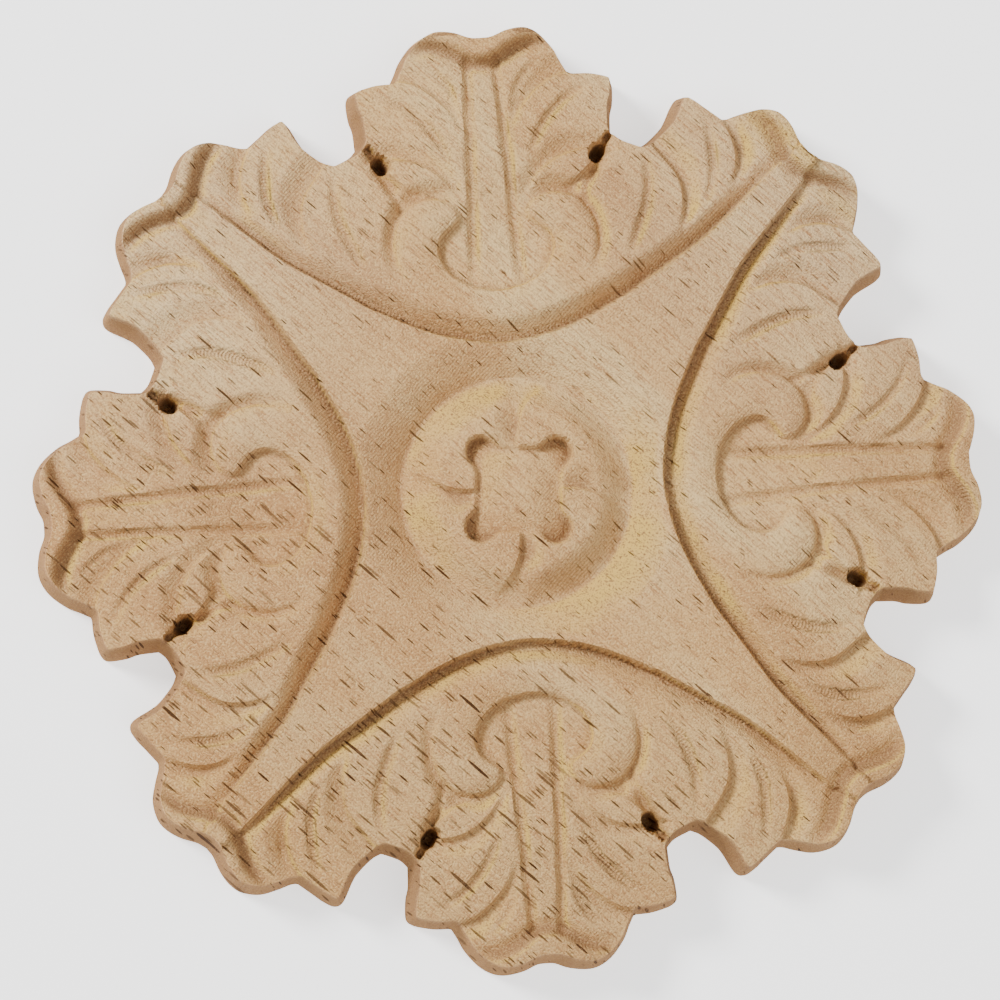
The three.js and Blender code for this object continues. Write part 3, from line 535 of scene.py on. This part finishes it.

# The steep sides are painted browner as shade, the slopes facing away from the light are painted darker as
# shade, dirt and painted shade sit in the hollows, and dirt sits in the fuzz as fine dots.
SIDE_SHADE_DEPTH, SIDE_SHADE_PATCHES = (1.2, 2.4), (0.3, 0.6, 0.5, 0.9)
SHADED_SLOPE = (-0.1, -0.7, 0, 0.06)
DIRT_AND_SHADE_DEPTH, DIRT_AND_SHADE_SPECKLE = (0.1, 1.1), (0.3, 0.6, 0.4, 0.8)
DOT_SPECKLE, DOTS_IN_FUZZ = (0.52, 0.68), (0, 0.6, 0.4, 0.9)
# Painted shade browns the steep side walls.
side_shade_share = calculate("MULTIPLY", ramp(hollow, *SIDE_SHADE_DEPTH), ramp(patches, *SIDE_SHADE_PATCHES))
colour = stained(colour, SIDE_SHADE, side_shade_share)
# Painted shade darkens the slopes that face away from the light.
colour = stained(colour, DIRT_AND_SHADE, ramp(to_left, *SHADED_SLOPE))
# Dirt and painted shade darken the hollows.
dirt_and_shade_share = calculate("MULTIPLY", ramp(hollow, *DIRT_AND_SHADE_DEPTH), ramp(speckle, *DIRT_AND_SHADE_SPECKLE))
colour = stained(colour, DIRT_AND_SHADE, dirt_and_shade_share)
dots = calculate("MULTIPLY", ramp(speckle, *DOT_SPECKLE), ramp(fuzz_and_highlight_share, *DOTS_IN_FUZZ))
colour = stained(colour, DIRT_AND_SHADE, dots)

# Vessels are cut open as dark lines along the grain, each in a cell of its own: the cells' length,
# width and depth, and the least and greatest share of a cell that its vessel takes.
VESSEL_CELLS = [(8.5, 0.85, 8, 0.02, 0.27), (3.4, 0.52, 8, 0.02, 0.3)]
VESSEL_GROWTH, VESSEL_START, VESSEL_RIM, PALEST_VESSEL = (0.85, 1.3), 0.1, (-0.01, 0.06), 0.45
FINE_CELL, FINE_VESSEL = (3.2, 0.5, 6), (0.26, 0.08, 0, 0.65)
vessel_growth = ramp(early_wood, 0, 1, *VESSEL_GROWTH)
vessel = 0.0
for along, across, deep, least, most in VESSEL_CELLS:
    cells = grain_texture("ShaderNodeTexVoronoi", along, across, deep, Randomness=1.0)
    chance = node("ShaderNodeSeparateColor", {"Color": cells.outputs["Color"]})
    size = calculate("MULTIPLY", ramp(chance.outputs[0], VESSEL_START, 1, least, most), vessel_growth)
    inside = ramp(calculate("SUBTRACT", size, cells.outputs["Distance"]), *VESSEL_RIM)
    darkness = calculate("MULTIPLY", inside, ramp(chance.outputs[1], 0, 1, PALEST_VESSEL, 1))
    vessel = calculate("MAXIMUM", vessel, darkness)
colour = stained(colour, VESSEL, vessel)
fine_vessels = grain_texture("ShaderNodeTexVoronoi", *FINE_CELL, Randomness=1.0).outputs["Distance"]
colour = stained(colour, DIRT_AND_SHADE, ramp(fine_vessels, *FINE_VESSEL))

# The cutter left ripples along its cuts, whose troughs are painted darker as shade, and fine parallel
# passes, painted as dark lines of shade only on the slopes that face right, away from the light.
RIPPLE_PITCH, RIPPLED_PATCHES, RIPPLE_SHADE = 0.57, (0.38, 0.52, 0.15, 1), (0, -1, 0, 0.42)
PASS_PITCH, PASS_WANDER, PASS_SHADE = 0.45, 14, (0, -1, 0, 0.5)
PASS_SHADED_SLOPE, PASS_PATCHES = (-0.02, -0.25), (0.35, 0.55)
RIPPLE_BUMP, SPECKLE_BUMP, BUMP_STRENGTH = 0.09, 0.38, 0.9
ripple_turns = calculate("MULTIPLY", surveyed_value("ripple_place"), 2 * math.pi / RIPPLE_PITCH)
ripple_strength = calculate("MULTIPLY", surveyed_value("ripple_share"), ramp(patches, *RIPPLED_PATCHES))
ripple_height = calculate("MULTIPLY", calculate("SINE", ripple_turns), ripple_strength)
# Painted shade in the ripples' troughs.
colour = stained(colour, DIRT_AND_SHADE, ramp(ripple_height, *RIPPLE_SHADE))
pass_turns = calculate("MULTIPLY", calculate("SUBTRACT", axes[0], axes[1]),
                       2 * math.pi * math.sqrt(0.5) / (PASS_PITCH * MILLIMETRE))
passes = calculate("SINE", calculate("ADD", pass_turns, calculate("MULTIPLY", patches, PASS_WANDER)))
# Painted shade: the passes show as dark lines only on the slopes facing away from the light.
pass_shade_share = calculate("MULTIPLY", ramp(to_left, *PASS_SHADED_SLOPE), ramp(patches, *PASS_PATCHES))
colour = stained(colour, DIRT_AND_SHADE, calculate("MULTIPLY", ramp(passes, *PASS_SHADE), pass_shade_share))
height = calculate("ADD", calculate("MULTIPLY", ripple_height, RIPPLE_BUMP),
                   calculate("MULTIPLY", speckle, SPECKLE_BUMP))
bump = node("ShaderNodeBump", {"Height": height, "Strength": BUMP_STRENGTH, "Distance": MILLIMETRE})
ROUGHNESS, SPECULAR = 0.85, 0.03
tree.links.new(colour, shader.inputs["Base Color"])
tree.links.new(bump.outputs[0], shader.inputs["Normal"])
shader.inputs["Roughness"].default_value = ROUGHNESS
shader.inputs["Specular IOR Level"].default_value = SPECULAR
mesh.materials.append(wood)

# A plain pale floor just under the board, of matt paper that glows a little.
FLOOR_HALF, FLOOR_DROP = 3, 0.2
PAPER, PAPER_ROUGHNESS, PAPER_GLOW = (0.9, 0.9, 0.9, 1), 0.9, 1.3
WHITE = (1, 1, 1, 1)
floor_mesh = bpy.data.meshes.new("floor")
bm = bmesh.new()
bmesh.ops.create_grid(bm, x_segments=1, y_segments=1, size=FLOOR_HALF)
bm.to_mesh(floor_mesh)
bm.free()
floor = bpy.data.objects.new("floor", floor_mesh)
floor.location.z = -FLOOR_DROP * MILLIMETRE
bpy.context.scene.collection.objects.link(floor)
paper = bpy.data.materials.new("paper")
paper.use_nodes = True
paper_inputs = paper.node_tree.nodes["Principled BSDF"].inputs
paper_inputs["Base Color"].default_value = PAPER
paper_inputs["Roughness"].default_value = PAPER_ROUGHNESS
paper_inputs["Emission Color"].default_value = WHITE
paper_inputs["Emission Strength"].default_value = PAPER_GLOW
floor_mesh.materials.append(paper)

# A large soft light from the upper left, a weaker and wider one opposite, and a little all round.
LIGHTS = {"window": ((-0.8, 0.55, 0.85), 0.4, 22.8), "fill": ((0.5, -0.4, 1.2), 1.0, 9)}
STUDIO_STRENGTH = 0.5
for name, (place, size, power) in LIGHTS.items():
    light = bpy.data.lights.new(name, "AREA")
    light.shape = "DISK"
    light.size = size
    light.energy = power
    lamp = bpy.data.objects.new(name, light)
    lamp.location = place
    lamp.rotation_euler = (-Vector(place)).to_track_quat("-Z", "Y").to_euler()
    bpy.context.scene.collection.objects.link(lamp)
world = bpy.data.worlds.new("studio")
world.use_nodes = True
background = world.node_tree.nodes["Background"]
background.inputs["Color"].default_value = WHITE
background.inputs["Strength"].default_value = STUDIO_STRENGTH
bpy.context.scene.world = world

# The camera stands about 0.65 m over the board, a little towards its lower left, turned a little.
AIM = Vector((-0.0015, -0.00015, 0))
CAMERA_HEIGHT, LEAN_LEFT, LEAN_DOWN = 0.648, 0.085, 0.1
TURN = 0.0765
LENS_PER_SENSOR = 4.119
SENSOR = 36
camera_data = bpy.data.cameras.new("camera")
camera_data.sensor_width = SENSOR
camera_data.lens = SENSOR * LENS_PER_SENSOR
camera = bpy.data.objects.new("camera", camera_data)
camera_place = AIM + Vector((-LEAN_LEFT, -LEAN_DOWN, 1)) * CAMERA_HEIGHT
forward = (AIM - camera_place).normalized()
right = forward.cross(Vector((math.sin(TURN), math.cos(TURN), 0))).normalized()
up = right.cross(forward)
rotation = Matrix((right, up, -forward)).transposed()
camera.matrix_world = Matrix.Translation(camera_place) @ rotation.to_4x4()
bpy.context.scene.collection.objects.link(camera)
bpy.context.scene.camera = camera
